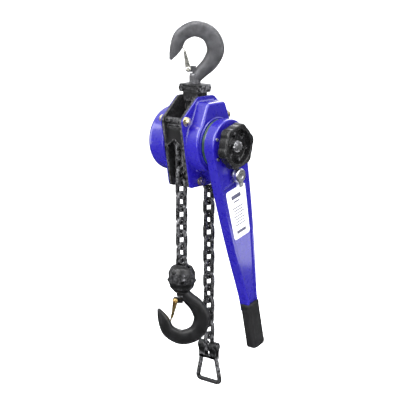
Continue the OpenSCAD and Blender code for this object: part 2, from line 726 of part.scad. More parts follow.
module label() color("white") in_lever() translate([lever_x[1] - trough_t, 0, 0])
    along_x(0, label_t) rounded(5) polygon([for (side = [-1, 1], k = [0, 1])
        let (p = label_edge[side < 0 ? k : 1 - k]) [side * p[0], p[1]]]);

module grip() color("#1a1a1a") in_lever() difference() {
    along_x(grip_x[0], grip_x[1]) rounded(4) polygon([
        [-grip_w / 2, lever_end_z], [grip_w / 2, lever_end_z],
        [grip_w / 2 - 1, -lever_l + 6], [grip_w / 2 - 7, -lever_l], [-grip_w / 2 + 7, -lever_l],
        [-grip_w / 2 + 1, -lever_l + 6]]);
    tang(90);
    for (x = grip_x, side = [-1, 1]) translate([x, side * grip_w / 2, lever_end_z - 60])
        rotate([0, 0, 45]) cube([grip_groove, grip_groove, 260], center = true);
}

module selector_knob() color("silver") in_lever() {
    rod_x(selector_shaft_r, lever_x[0], knob_x[0] + 2, 0, -selector_drop);
    rod_x(knob_r, knob_x[0], knob_x[1], 0, -selector_drop);
    along_x(knob_x[0] + 1, knob_x[1] - 3) translate([0, -selector_drop])
        polygon([[-7, 0], [7, 0], [5, -22], [-5, -22]]);
}
module change_pawl() color("#85878a") in_lever() difference() {
    along_x(change_x[0] + 1, change_x[1] - 1) translate([0, -selector_drop]) union() {
        circle(9);
        for (side = [-1, 1]) rotate(90 + side * nose_turn)
            polygon([[0, -5], [18, -5], [nose_r, -1], [nose_r, 1], [18, 5], [0, 5]]);
    }
    rod_x(selector_shaft_r, 60, 80, 0, -selector_drop);
}

// ---------- chains ----------

module load_chain_lead() color("#2b2b2e") on_shaft() hanging_links(-hang_y, 1, 3);
module load_chain() color("#2b2b2e") on_shaft() hanging_links(-hang_y, 4, load_links);
module tail_chain_lead() color("#2b2b2e") on_shaft() hanging_links(hang_y, 1, 3);
module tail_chain() color("#2b2b2e") on_shaft() hanging_links(hang_y, 4, tail_links);

// ---------- hook block ----------

module block_solid() difference() {
    rotate_extrude() polygon([[0, block_bottom_z], [14, block_bottom_z], [22, block_bottom_z + 9],
        [block_r, block_bottom_z + 20], [block_r, block_top_z - 14], [20, block_top_z - 4],
        [14, block_top_z], [0, block_top_z]]);
    // slot for the last link, wide enough for the block to rock on its pin
    rod_y(15.6, -block_slot_half, block_slot_half, 0, load_pin_z);
    translate([-18.5, -block_slot_half, load_pin_z]) cube([37, 2 * block_slot_half, 40]);
    rod_y(pin_d / 2, -40, 40, 0, load_pin_z);
    translate([0, 0, block_bottom_z - 1]) cylinder(d = stem_d + 2 * run_fit, h = 25);
    translate([0, 0, block_bottom_z + stem_l - 2 * face_gap])
        cylinder(r = collar_r + run_fit, h = collar_t + 2 * face_gap);
    for (side = [-1, 1]) {
        rod_y(block_bolt_r, -30, 30, side * block_bolt[0], block_bolt[1]);
        for (face = [-1, 1])
            rod_y(block_socket_r, face * 20 - 8, face * 20 + 8, side * block_bolt[0], block_bolt[1]);
    }
    for (face = [-1, 1]) rod_y(6, face * 26 - 4, face * 26 + 4, 0, load_pin_z);
}
module block_half(side) on_shaft() translate([0, -hang_y, 0]) intersection() {
    block_solid();
    translate([-40, side < 0 ? -40 : 0, block_bottom_z - 5]) cube([80, 40, 70]);
}
module hook_block_front() color("#1c1c1e") block_half(-1);
module hook_block_rear() color("#1c1c1e") block_half(1);
module block_bolts() color("#444444") on_shaft() translate([0, -hang_y, 0]) for (side = [-1, 1]) {
    rod_y(block_bolt_r, -14, 14, side * block_bolt[0], block_bolt[1]);
    rod_y(block_socket_r - 0.1, -15.5, -12, side * block_bolt[0], block_bolt[1]);
    translate([side * block_bolt[0], 12, block_bolt[1]])
        rotate([-90, 0, 0]) cylinder(r = block_socket_r - 0.1, h = 3.5, $fn = 6);
}
module chain_pin() color("#55565a") on_shaft() translate([0, -hang_y, 0])
    rod_y(pin_d / 2, -22, 22, 0, load_pin_z);

// ---------- end ring ----------

module end_ring() color("#1c1c1e") on_shaft() translate([0, hang_y, tail_pin_z]) difference() {
    half = ring_barrel[0] + ring_barrel[1] / 2;
    union() {
        for (side = [-1, 1]) {
            x0 = side * ring_barrel[0] - ring_barrel[1] / 2;
            rod_x(9, x0, x0 + ring_barrel[1]);
            translate([x0, -5.5, -25]) cube([ring_barrel[1], 11, 25]);
            ring_leg(side);
            translate([side * ring_corner[0], 0, ring_corner[1]]) sphere(d = ring_wire, $fn = 24);
        }
        translate([-half, -5.5, -25]) cube([2 * half, 11, 6]);
        rod_x(ring_wire / 2, -ring_corner[0], ring_corner[0], 0, ring_corner[1]);
    }
    rod_x(pin_d / 2 + run_fit, -30, 30);
}
module ring_leg(side) {
    across = ring_corner[0] - ring_shoulder[0];
    up = ring_shoulder[1] - ring_corner[1];
    translate([side * ring_corner[0], 0, ring_corner[1]]) rotate([0, -side * atan2(across, up), 0])
        cylinder(d = ring_wire, h = norm([across, up]));
}
module ring_pin() color("#77787c") on_shaft() translate([0, hang_y, tail_pin_z]) {
    rod_x(pin_d / 2, -22, 22);
    for (side = [-1, 1]) rod_x(5.5, side * 22.5 - 1.2, side * 22.5 + 1.2);
}

top_hook();
top_latch();
top_latch_pin();
top_latch_spring();
yoke_front();
yoke_rear();
yoke_screws();
top_pin();
gear_side_plate();
brake_side_plate();
gear_cover();
brake_cover();
stay_bolts();
stay_nuts();
chain_guide();
chain_stripper();
sheave_bushes();
load_sheave();
load_gear();
sheave_links();
gear_a();
gear_b();
drive_shaft();
friction_hub();
friction_disc_inner();
friction_disc_outer();
ratchet_disc();
pawl_pins();
brake_pawl_a();
brake_pawl_b();
pawl_springs();
changing_gear();
hand_wheel();
castle_nut();
split_pin();
lever_back_cover();
lever_front_housing();
lever_screws();
label();
grip();
selector_knob();
change_pawl();
load_chain_lead();
load_chain();
tail_chain_lead();
tail_chain();
hook_block_front();
hook_block_rear();
block_bolts();
chain_pin();
bottom_hook();
bottom_latch();
bottom_latch_pin();
bottom_latch_spring();
end_ring();
ring_pin();
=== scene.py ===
import json
import math

import bmesh
import bpy
from mathutils import Matrix, Vector

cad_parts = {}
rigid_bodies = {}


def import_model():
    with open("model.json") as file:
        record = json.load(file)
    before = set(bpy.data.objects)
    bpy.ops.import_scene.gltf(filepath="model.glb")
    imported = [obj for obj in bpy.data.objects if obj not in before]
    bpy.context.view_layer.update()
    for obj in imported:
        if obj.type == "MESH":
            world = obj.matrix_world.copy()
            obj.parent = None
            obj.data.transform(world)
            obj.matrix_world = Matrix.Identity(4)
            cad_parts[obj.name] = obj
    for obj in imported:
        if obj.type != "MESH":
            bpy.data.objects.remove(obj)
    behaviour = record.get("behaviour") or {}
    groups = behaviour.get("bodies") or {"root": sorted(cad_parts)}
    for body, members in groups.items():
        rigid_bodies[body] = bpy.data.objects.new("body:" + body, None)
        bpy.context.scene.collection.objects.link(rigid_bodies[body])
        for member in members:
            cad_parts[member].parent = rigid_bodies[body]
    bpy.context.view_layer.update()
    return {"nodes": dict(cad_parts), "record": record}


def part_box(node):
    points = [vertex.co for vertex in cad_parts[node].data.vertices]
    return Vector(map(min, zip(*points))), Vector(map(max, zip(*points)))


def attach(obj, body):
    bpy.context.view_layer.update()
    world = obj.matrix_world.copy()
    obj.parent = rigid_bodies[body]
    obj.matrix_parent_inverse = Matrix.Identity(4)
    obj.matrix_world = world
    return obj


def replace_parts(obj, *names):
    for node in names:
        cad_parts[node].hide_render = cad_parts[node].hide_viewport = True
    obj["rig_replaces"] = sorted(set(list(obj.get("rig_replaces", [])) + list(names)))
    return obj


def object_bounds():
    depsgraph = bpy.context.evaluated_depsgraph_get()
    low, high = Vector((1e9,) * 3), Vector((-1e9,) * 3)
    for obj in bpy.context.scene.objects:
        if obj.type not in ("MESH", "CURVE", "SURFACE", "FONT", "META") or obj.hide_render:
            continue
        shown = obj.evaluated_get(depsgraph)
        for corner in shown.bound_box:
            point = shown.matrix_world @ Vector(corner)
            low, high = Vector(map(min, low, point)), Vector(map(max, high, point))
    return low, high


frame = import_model()
NODES = frame["nodes"]

# Lengths below are millimetres, and a Shape turns them into metres.
MM = 0.001


# ---------- places, from the frame ----------

def centre(node):
    low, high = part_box(node)
    return (low + high) / 2 / MM


SHAFT = centre("sheave_bushes")
HOOK_YAW = math.radians(40)
ACROSS = Vector((math.cos(HOOK_YAW), math.sin(HOOK_YAW), 0))
AHEAD = Vector((math.sin(HOOK_YAW), -math.cos(HOOK_YAW), 0))
UP = Vector((0, 0, 1))
BOWL_R = 22
LOAD_Y = centre("load_chain").y
TAIL_Y = centre("tail_chain").y
LEVER_TILT = math.radians(13)

at_shaft = Matrix.Translation(SHAFT)
in_lever = at_shaft @ Matrix.Rotation(LEVER_TILT, 4, "X")


def axes(x, y, z, origin=(0, 0, 0)):
    """The matrix that puts a local frame at origin with these three directions."""
    m = Matrix((x, y, z)).transposed().to_4x4()
    m.translation = Vector(origin)
    return m


# Outlines are drawn in X-Y: along_x stands them in Y-Z with their height along X
along_x = axes((0, 1, 0), (0, 0, 1), (1, 0, 0))
along_y = axes((1, 0, 0), (0, 0, 1), (0, -1, 0))


# ---------- outlines ----------

def arc(r, start, stop, steps, x=0.0, y=0.0):
    """Points of a round stretch, in degrees, both ends included."""
    turns = [math.radians(start + (stop - start) * i / steps) for i in range(steps + 1)]
    return [Vector((x + r * math.cos(a), y + r * math.sin(a))) for a in turns]


def circle(r, count=64, x=0.0, y=0.0):
    return arc(r, 0, 360, count, x, y)[:-1]


def rounded(points, r, steps=6):
    """A closed outline with every corner rounded by curves that start r from it."""
    out = []
    points = [Vector(p) for p in points]
    for i, here in enumerate(points):
        before, after = points[i - 1], points[(i + 1) % len(points)]
        a = here + (before - here).normalized() * min(r, (before - here).length * 0.49)
        b = here + (after - here).normalized() * min(r, (after - here).length * 0.49)
        for k in range(steps + 1):
            t = k / steps
            out.append(a * (1 - t) ** 2 + here * 2 * t * (1 - t) + b * t * t)
    return out


def inset(outline, distance):
    """The outline moved inwards along its own normals; it runs anticlockwise."""
    out = []
    for i, here in enumerate(outline):
        tangent = outline[(i + 1) % len(outline)] - outline[i - 1]
        normal = Vector((-tangent.y, tangent.x)).normalized()
        out.append(here + normal * distance)
    return out


def spline(knots, steps):
    """Catmull-Rom curve through vectors of any size."""
    out = []
    for i in range(len(knots) - 1):
        a, b, c, d = (Vector(knots[max(0, min(len(knots) - 1, i + k))]) for k in (-1, 0, 1, 2))
        for k in range(steps):
            t = k / steps
            out.append(0.5 * (2 * b + (c - a) * t + (2 * a - 5 * b + 4 * c - d) * t * t
                              + (3 * b - a - 3 * c + d) * t ** 3))
    return out + [Vector(knots[-1])]


def reach(shapes, count, smooth=3):
    """Distances from the centre to the edge of a union of circles and polygons, at equal angles."""
    out = []
    for i in range(count):
        a = 2 * math.pi * i / count
        ray = Vector((math.cos(a), math.sin(a)))
        far = 0.0
        for shape in shapes:
            if not isinstance(shape, list):
                r, x, y = shape
                along = ray.x * x + ray.y * y
                gap = r * r - (x * x + y * y - along * along)
                if gap > 0:
                    far = max(far, along + math.sqrt(gap))
                continue
            for p, q in zip(shape, shape[1:] + shape[:1]):
                p, edge = Vector(p), Vector(q) - Vector(p)
                cross = ray.x * edge.y - ray.y * edge.x
                if abs(cross) < 1e-9:
                    continue
                t = (p.x * edge.y - p.y * edge.x) / cross
                s = (p.x * ray.y - p.y * ray.x) / cross
                if 0 <= s <= 1:
                    far = max(far, t)
        out.append(far)
    for _ in range(smooth):
        out = [(out[i - 1] + 2 * r + out[(i + 1) % count]) / 4 for i, r in enumerate(out)]
    return out


def by_angle(radii, less=0.0):
    """Points at equal angles at those radii."""
    count = len(radii)
    return [Vector((math.cos(2 * math.pi * i / count), math.sin(2 * math.pi * i / count))) * (r - less)
            for i, r in enumerate(radii)]


# ---------- solids ----------

def level(outline, z):
    return [Vector((p.x, p.y, z)) for p in outline]


def soften(rings, steps=4, closed=False):
    """Rounds the edges between control rings. Each is (ring, cut), and cut is where the rounding starts."""
    out = []
    count = len(rings)
    for i, (ring, cut) in enumerate(rings):
        if not cut or (not closed and i in (0, count - 1)):
            out.append(ring)
            continue
        before, after = rings[i - 1][0], rings[(i + 1) % count][0]
        for k in range(steps + 1):
            t = k / steps
            row = []
            for a, b, c in zip(before, ring, after):
                near, far = (a - b).length, (c - b).length
                p = b + (a - b) * min(cut / near, 0.48) if near > 1e-6 else b
                q = b + (c - b) * min(cut / far, 0.48) if far > 1e-6 else b
                row.append(p * (1 - t) ** 2 + b * 2 * t * (1 - t) + q * t * t)
            out.append(row)
    return out


class Shape:
    """Closed solids in millimetres that make up one Blender piece."""

    def __init__(self, place=None):
        self.place = place or Matrix.Identity(4)
        self.points = []
        self.faces = []

    def loft(self, rings, closed=False, place=None, strip=False):
        """Skins the rings. The ends are capped, or joined to each other if closed. A strip cap joins
        each point to its mirror image, for a long ring that is the same on both sides."""
        place = self.place @ (place or Matrix.Identity(4))
        base, n, rows = len(self.points), len(rings[0]), len(rings)
        for ring in rings:
            self.points += [place @ p for p in ring]
        for i in range(rows if closed else rows - 1):
            a, b = base + i * n, base + (i + 1) % rows * n
            self.faces += [(a + k, a + (k + 1) % n, b + (k + 1) % n, b + k) for k in range(n)]
        if not closed:
            for ring in (range(base + n - 1, base - 1, -1), range(base + (rows - 1) * n, base + rows * n)):
                if strip:
                    half = (n - 1) // 2
                    for k in range(half):
                        corners = (ring[k], ring[k + 1], ring[n - 2 - k], ring[n - 1 - k])
                        self.faces.append(tuple(dict.fromkeys(corners)))
                else:
                    self.faces.append(tuple(ring))
        return self

    def prism(self, outline, low, high, edge=0.6, place=None, steps=3):
        """An outline given thickness, with rounded edges."""
        small = inset(outline, edge * 1.5)
        rings = [(level(small, low), 0), (level(outline, low), edge),
                 (level(outline, high), edge), (level(small, high), 0)]
        return self.loft(soften(rings, steps), place=place)

    def turned(self, profile, count=64, place=None, steps=3, closed=False):
        """A turned solid about local Z from (radius, height, cut) points."""
        rings = [(level(circle(r, count), z), cut) for r, z, cut in profile]
        return self.loft(soften(rings, steps, closed), closed, place)

    def tube(self, path, flat, section, closed=False, place=None):
        """Sweeps a section along a plane path. flat is the plane's normal, and section(i, share)
        gives (across, out) from the line at each of its points."""
        rings, n = [], len(path)
        for i, p in enumerate(path):
            a = path[i - 1] if closed or i else path[0]
            b = path[(i + 1) % n] if closed or i < n - 1 else path[-1]
            side = (b - a).normalized().cross(flat)
            rings.append([p + side * u + flat * w for u, w in section(i, i / max(1, n - 1))])
        return self.loft(rings, closed, place)

    def piece(self, name, body, material, nodes=(), smooth=40):
        """Makes the Blender object, rides it on its body and says which CAD nodes it stands for."""
        mesh = bpy.data.meshes.new(name)
        mesh.from_pydata([p * MM for p in self.points], [], self.faces)
        bm = bmesh.new()
        bm.from_mesh(mesh)
        bmesh.ops.recalc_face_normals(bm, faces=bm.faces)
        bm.to_mesh(mesh)
        bm.free()
        obj = bpy.data.objects.new(name, mesh)
        bpy.context.scene.collection.objects.link(obj)
        shade(obj, smooth)
        mesh.materials.append(material)
        obj.modifiers.new("normals", "WEIGHTED_NORMAL").keep_sharp = True
        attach(obj, body)
        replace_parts(obj, *nodes)
        return obj


def shade(obj, angle):
    """Smooth shading with edges sharper than the angle, in degrees, left crisp."""
    mesh = obj.data
    mesh.polygons.foreach_set("use_smooth", [True] * len(mesh.polygons))
    mesh.set_sharp_from_angle(angle=math.radians(angle))
    mesh.update()


def oval(width, depth, count=20, power=2.0):
    """A section that is an ellipse at power 2 and a rounded box above it."""
    out = []
    for k in range(count):
        a = 2 * math.pi * k / count
        c, s = math.cos(a), math.sin(a)
        r = (abs(c) ** power + abs(s) ** power) ** (-1 / power)
        out.append((width / 2 * r * c, depth / 2 * r * s))
    return out


# ---------- materials ----------

class Look:
    """A Principled material that is built from nodes in the object's own coordinates."""

    def __init__(self, name, colour, **sockets):
        self.material = bpy.data.materials.new(name)
        self.material.use_nodes = True
        self.tree = self.material.node_tree
        self.surface = self.tree.nodes["Principled BSDF"]
        self.set("Base Color", (*colour, 1))
        for socket, value in sockets.items():
            self.set(socket.replace("_", " "), value)
        self.where = self.node("TexCoord").outputs["Object"]
        self.height = None

    def node(self, kind, **values):
        made = self.tree.nodes.new("ShaderNode" + kind)
        for name, value in values.items():
            setattr(made, name, value)
        return made

    def link(self, a, b):
        self.tree.links.new(a, b)

    def set(self, socket, value):
        self.surface.inputs[socket].default_value = value

    def noise(self, scale, detail=3.0, stretch=(1, 1, 1), distortion=0.0):
        """Fractal noise from 0 to 1. scale is in features per metre."""
        spread = self.node("Mapping")
        spread.inputs["Scale"].default_value = stretch
        self.link(self.where, spread.inputs["Vector"])
        made = self.node("TexNoise")
        made.inputs["Scale"].default_value = scale
        made.inputs["Detail"].default_value = detail
        made.inputs["Distortion"].default_value = distortion
        self.link(spread.outputs[0], made.inputs["Vector"])
        return made.outputs["Fac"]

    def edges(self, low=0.51, high=0.58):
        """1 on outward edges and 0 elsewhere."""
        return self.scaled(self.node("NewGeometry").outputs["Pointiness"], 0, 1, low, high)

    def scaled(self, value, low, high, start=0.0, stop=1.0):
        """Maps start..stop to low..high and holds it there."""
        made = self.node("MapRange")
        self.link(value, made.inputs["Value"])
        for socket, number in (("From Min", start), ("From Max", stop), ("To Min", low), ("To Max", high)):
            made.inputs[socket].default_value = number
        return made.outputs["Result"]

    def times(self, a, b):
        made = self.node("Math", operation="MULTIPLY")
        self.link(a, made.inputs[0])
        self.link(b, made.inputs[1])
        return made.outputs[0]

    def colours(self, value, *stops):
        """A colour ramp over (position, colour) stops, into the base colour."""
        ramp = self.node("ValToRGB")
        self.link(value, ramp.inputs["Fac"])
        ramp.color_ramp.elements.remove(ramp.color_ramp.elements[1])
        for i, (position, colour) in enumerate(stops):
            element = ramp.color_ramp.elements[0] if i == 0 else ramp.color_ramp.elements.new(position)
            element.position = position
            element.color = (*colour, 1)
        self.link(ramp.outputs["Color"], self.surface.inputs["Base Color"])
        return ramp.outputs["Color"]

    def over(self, base, value, colour):
        """Blends a colour over what the base colour is so far."""
        made = self.node("Mix", data_type="RGBA")
        self.link(value, made.inputs["Factor"])
        self.link(base, made.inputs["A"])
        made.inputs["B"].default_value = (*colour, 1)
        self.link(made.outputs["Result"], self.surface.inputs["Base Color"])
        return made.outputs["Result"]

    def rough(self, value, low, high):
        self.link(self.scaled(value, low, high, 0.3, 0.7), self.surface.inputs["Roughness"])

    def bump(self, value, depth, strength=1.0):
        """Adds relief; depth is in millimetres."""
        made = self.node("Bump")
        made.inputs["Strength"].default_value = strength
        made.inputs["Distance"].default_value = depth * MM
        self.link(value, made.inputs["Height"])
        if self.height is not None:
            self.link(self.height, made.inputs["Normal"])
        self.height = made.outputs["Normal"]
        self.link(self.height, self.surface.inputs["Normal"])


def blue_paint():
    """Gloss enamel: orange peel, a trace of colour drift, and a painted highlight of paler blue on sharp
    edges.
    """
    look = Look("blue_paint", (0.008, 0.005, 0.175), Roughness=0.3, Specular_IOR_Level=0.3,
                Coat_Weight=1.0, Coat_Roughness=0.09)
    base = look.colours(look.noise(22, 4), (0.3, (0.007, 0.004, 0.165)), (0.7, (0.009, 0.005, 0.185)))
    # Painted highlight: a paler blue laid on the convex edges that pointiness finds.
    base = look.over(base, look.times(look.edges(0.52, 0.6), look.noise(300, 3)), (0.05, 0.045, 0.42))
    scuff = look.scaled(look.noise(60, 8, (1, 1, 0.25), 1.2), 0, 0.18, 0.68, 0.76)
    look.over(base, scuff, (0.035, 0.03, 0.30))
    look.rough(look.noise(90, 5), 0.24, 0.33)
    look.bump(look.noise(520, 2), 0.04)
    look.bump(look.noise(45, 2), 0.06)
    return look.material


def black_paint(name, shade_low, shade_high, rough_low, rough_high, grain, depth, metal=0.0, wear_and_highlight=0.3):
    """Black finish on steel: broken up in tone, with pale edges that are partly bare metal showing through
    and partly a painted edge highlight.
    """
    look = Look(name, (shade_high,) * 3, Metallic=metal, Specular_IOR_Level=0.3)
    tone = look.noise(70, 5)
    base = look.colours(tone, (0.3, (shade_low, shade_low, shade_low * 1.06)),
                        (0.7, (shade_high, shade_high, shade_high * 1.08)))
    # Wear and painted highlight: a pale grey laid on the convex edges that pointiness finds.
    edge_wear_and_highlight = look.times(look.edges(0.515, 0.575), look.scaled(look.noise(260, 6), 0, wear_and_highlight, 0.42, 0.62))
    look.over(base, edge_wear_and_highlight, (0.42, 0.42, 0.44))
    look.rough(look.noise(110, 5), rough_low, rough_high)
    look.bump(look.noise(grain, 4), depth)
    look.bump(look.noise(grain / 6, 3), depth * 1.6)
    return look.material


def plated(name, low, high, rough_low, rough_high):
    """Zinc plate: passivation colours drift across it over faint tool marks."""
    look = Look(name, high, Metallic=1.0)
    look.colours(look.noise(55, 4, distortion=0.8), (0.3, low), (0.55, high), (0.72, low))
    look.rough(look.noise(160, 5), rough_low, rough_high)
    look.bump(look.noise(900, 2, (1, 1, 0.1)), 0.02)
    look.bump(look.noise(140, 3), 0.03)
    return look.material


def machined(name, colour, rough_low, rough_high):
    """Turned and milled metal with fine tool marks and a film of grease."""
    look = Look(name, colour, Metallic=1.0)
    dark = tuple(c * 0.55 for c in colour)
    look.colours(look.noise(90, 6, distortion=0.6), (0.3, dark), (0.65, colour))
    look.rough(look.noise(200, 4), rough_low, rough_high)
    look.bump(look.noise(1500, 2, (0.05, 1, 1)), 0.012)
    return look.material


def rubber():
    """Moulded grip: matt, fine stipple, dusty in patches."""
    look = Look("rubber", (0.008, 0.008, 0.0085), Specular_IOR_Level=0.3)
    base = look.colours(look.noise(80, 5), (0.3, (0.005, 0.005, 0.0055)), (0.7, (0.011, 0.011, 0.0115)))
    look.over(base, look.scaled(look.noise(14, 6), 0, 0.15, 0.55, 0.7), (0.05, 0.047, 0.044))
    look.rough(look.noise(120, 4), 0.42, 0.6)
    look.bump(look.noise(1400, 2), 0.06)
    look.bump(look.noise(240, 3), 0.05)
    return look.material


def film(name, low, high):
    """Printed vinyl film."""
    look = Look(name, high, Coat_Weight=0.25, Coat_Roughness=0.15)
    look.colours(look.noise(130, 5), (0.35, low), (0.65, high))
    look.rough(look.noise(300, 3), 0.28, 0.42)
    look.bump(look.noise(800, 2), 0.01)
    return look.material


def friction():
    look = Look("friction", (0.12, 0.06, 0.035))
    look.colours(look.noise(900, 5), (0.35, (0.05, 0.025, 0.018)), (0.6, (0.17, 0.09, 0.05)),
                 (0.7, (0.5, 0.36, 0.2)))
    look.rough(look.noise(400, 3), 0.7, 0.9)
    look.bump(look.noise(900, 3), 0.08)
    return look.material


LOOKS = {
    "blue_paint": blue_paint(),
    "black_steel": black_paint("black_steel", 0.002, 0.006, 0.28, 0.42, 420, 0.05),
    "chain_black": black_paint("chain_black", 0.006, 0.014, 0.2, 0.34, 500, 0.06, 0.3, 0.5),
    "hook_black": black_paint("hook_black", 0.003, 0.008, 0.3, 0.46, 260, 0.16, 0.1, 0.3),
    "hook_grey": black_paint("hook_grey", 0.03, 0.06, 0.36, 0.52, 300, 0.2, 0.35, 0.5),
    "wheel_black": black_paint("wheel_black", 0.004, 0.008, 0.2, 0.34, 500, 0.04, 0.0, 0.25),
    "nut_zinc": plated("nut_zinc", (0.60, 0.46, 0.2), (0.86, 0.80, 0.58), 0.2, 0.34),
    "latch_gold": plated("latch_gold", (0.62, 0.36, 0.13), (0.88, 0.66, 0.28), 0.22, 0.36),
    "latch_zinc": plated("latch_zinc", (0.66, 0.66, 0.58), (0.84, 0.83, 0.76), 0.22, 0.36),
    "bright_zinc": plated("bright_zinc", (0.62, 0.63, 0.65), (0.80, 0.80, 0.82), 0.24, 0.36),
    "gear_steel": machined("gear_steel", (0.5, 0.5, 0.51), 0.26, 0.42),
    "bronze": machined("bronze", (0.62, 0.42, 0.2), 0.3, 0.45),
    "friction": friction(),
    "rubber": rubber(),
    "label_white": film("label_white", (0.62, 0.62, 0.62), (0.70, 0.70, 0.70)),
}
label_ink = film("label_ink", (0.03, 0.03, 0.06), (0.06, 0.06, 0.10))
seal_green = film("seal_green", (0.010, 0.028, 0.016), (0.018, 0.05, 0.026))


# ---------- CAD nodes that stay ----------

def keep(node, look, edge=0.4, angle=35):
    """A CAD node keeps its shape, gets its finish, and its sharp edges are broken."""
    obj = NODES[node]
    obj.data.materials.clear()
    obj.data.materials.append(LOOKS[look])
    shade(obj, angle)
    if edge:
        weld = obj.modifiers.new("weld", "WELD")
        weld.merge_threshold = 0.004 * MM
        bevel = obj.modifiers.new("edges", "BEVEL")
        bevel.width = edge * MM
        bevel.segments = 2
        bevel.angle_limit = math.radians(angle)
        bevel.harden_normals = False
        bevel.use_clamp_overlap = True
        obj.modifiers.new("normals", "WEIGHTED_NORMAL").keep_sharp = True


# ---------- hooks ----------

# Around the bowl centre, with the stem along +Y: across, along, width in the plane, depth
HOOK_STATIONS = [
    (-43, 17, 7, 8), (-39, 8, 15, 14), (-33.8, -4, 22, 18), (-24.4, -24.4, 25, 20), (0, -36, 28, 22),
    (26.2, -26.2, 30, 23), (37.5, 0, 31, 23), (28, 24, 28, 22), (12.5, 40, 24, 21), (1.5, 52, 21, 21),
]
HOOK_BELLY = 28
NECK_R, STEM_R, COLLAR_R = 10.4, 8, 11
STEM_L, COLLAR_T = 18, 7
LATCH_PIVOT = Vector((-12, 36, 0))
LATCH_END = Vector((-20.8, -2.5, 0))
LUG_HALF, EAR_HALF, EAR_T = 2.6, 6.3, 1.8


def hook(name, body, place, shoulder, look):
    """Forged hook: a rounded-box section with the forging's parting line round its edge."""
    line = spline(HOOK_STATIONS, 10)
    path = [Vector((p[0], p[1], 0)) for p in line]
    widths = [(p[2], p[3]) for p in line]
    tip, outwards = path[0], (path[0] - path[1]).normalized()
    for a in (math.radians(30), math.radians(58), math.radians(82)):
        path.insert(0, tip + outwards * 3.2 * math.sin(a))
        widths.insert(0, (line[0][2] * math.cos(a), line[0][3] * math.cos(a)))

    def section(i, share):
        flat = 2 + 0.75 * math.sin(math.pi * min(1, share * 1.15))
        ring = []
        for k, (u, w) in enumerate(oval(*widths[i], 40, flat)):
            parting = 1 + 0.022 * math.exp(-((w / 0.9) ** 2))
            ring.append((u * parting, w))
        return ring

    shape = Shape(place)
    shape.tube(path, Vector((0, 0, 1)), section)
    neck = [(0.5, 44, 0), (NECK_R - 1, 44, 0), (NECK_R, 49, 2), (NECK_R, shoulder, 0.8),
            (STEM_R, shoulder, 0.8), (STEM_R, shoulder + STEM_L, 0), (COLLAR_R, shoulder + STEM_L, 0.8),
            (COLLAR_R, shoulder + STEM_L + COLLAR_T, 0.8), (0.5, shoulder + STEM_L + COLLAR_T, 0)]
    shape.turned(neck, 48, axes((1, 0, 0), (0, 0, -1), (0, 1, 0)))
    x, y = LATCH_PIVOT.xy
    lug = arc(5.5, 90, 270, 16, x, y) + [Vector((x + 14, y - 5.5)), Vector((x + 14, y + 5.5))]
    shape.prism(lug, -LUG_HALF, LUG_HALF, 0.6)
    shape.piece(name, body, LOOKS[look], [name], 50)


def latch(name, body, place, look):
    """Pressed channel: two ears on the pin, a web between them with a stiffening bead."""
    aim = LATCH_END - LATCH_PIVOT
    reach_l = aim.length
    local = place @ Matrix.Translation(LATCH_PIVOT) @ Matrix.Rotation(math.atan2(aim.y, aim.x), 4, "Z")
    shape = Shape(local)
    ear = arc(5, 94, 266, 14) + arc(2, -90, 90, 8, reach_l - 8, 0.8)
    for low in (-EAR_HALF - EAR_T, EAR_HALF):
        shape.prism(ear, low, low + EAR_T, 0.35)
    lying = axes((1, 0, 0), (0, 0, 1), (0, -1, 0))
    half = EAR_HALF + EAR_T
    web = rounded([(9, -half), (reach_l, -half + 1.2), (reach_l, half - 1.2), (9, half)], 3.5)
    shape.prism(web, -0.8, 1.2, 0.5, lying)
    bead = rounded([(13, -2.6), (reach_l - 5, -2.2), (reach_l - 5, 2.2), (13, 2.6)], 2.1)
    shape.prism(bead, 1.1, 1.9, 0.6, lying)
    tip = [(0.2, -half + 1.4, 0), (1.6, -half + 1.4, 0.9), (1.6, half - 1.4, 0.9), (0.2, half - 1.4, 0)]
    shape.turned(tip, 20, Matrix.Translation((reach_l - 1.2, 0, 0)))
    shape.piece(name, body, LOOKS[look], [name], 42)


def latch_pin(name, body, place, look):
    half = EAR_HALF + EAR_T + 0.15
    shape = Shape(place @ Matrix.Translation(LATCH_PIVOT))
    shape.turned([(0.2, -half - 1.5, 0), (3.1, -half - 1.5, 0.7), (4, -half - 0.8, 0.3), (4, -half, 0.2),
                  (2.5, -half, 0), (2.5, half, 0), (4, half, 0.2), (4, half + 0.8, 0.3),
                  (3.1, half + 1.5, 0.7), (1.4, half + 1.5, 0.2), (1.2, half + 0.9, 0.2),
                  (0.2, half + 0.9, 0)], 32)
    shape.piece(name, body, LOOKS[look], [name])


def wire(shape, points, r, sides=10):
    """A round wire through points in space."""
    rings = []
    side = None
    for i, p in enumerate(points):
        along = (points[min(i + 1, len(points) - 1)] - points[max(i - 1, 0)]).normalized()
        if side is None:
            side = along.orthogonal().normalized()
        side = (side - along * side.dot(along)).normalized()
        other = along.cross(side)
        rings.append([p + (side * math.cos(a) + other * math.sin(a)) * r
                      for a in (2 * math.pi * k / sides for k in range(sides))])
    shape.loft(rings)


def latch_spring(name, body, place):
    """Torsion spring: coils on the pin, on both sides of the lug."""
    shape = Shape(place @ Matrix.Translation(LATCH_PIVOT))
    coils, coil_r, coil_l, wire_r, steps = 2.6, 3.35, 2.2, 0.55, 60
    for side in (-1, 1):
        points = []
        for i in range(steps + 1):
            a = 2 * math.pi * coils * i / steps
            z = side * (LUG_HALF + 0.75 + coil_l * i / steps)
            points.append(Vector((coil_r * math.cos(a), -coil_r * math.sin(a), z)))
        wire(shape, points, wire_r)
    shape.piece(name, body, LOOKS["bright_zinc"], [name])


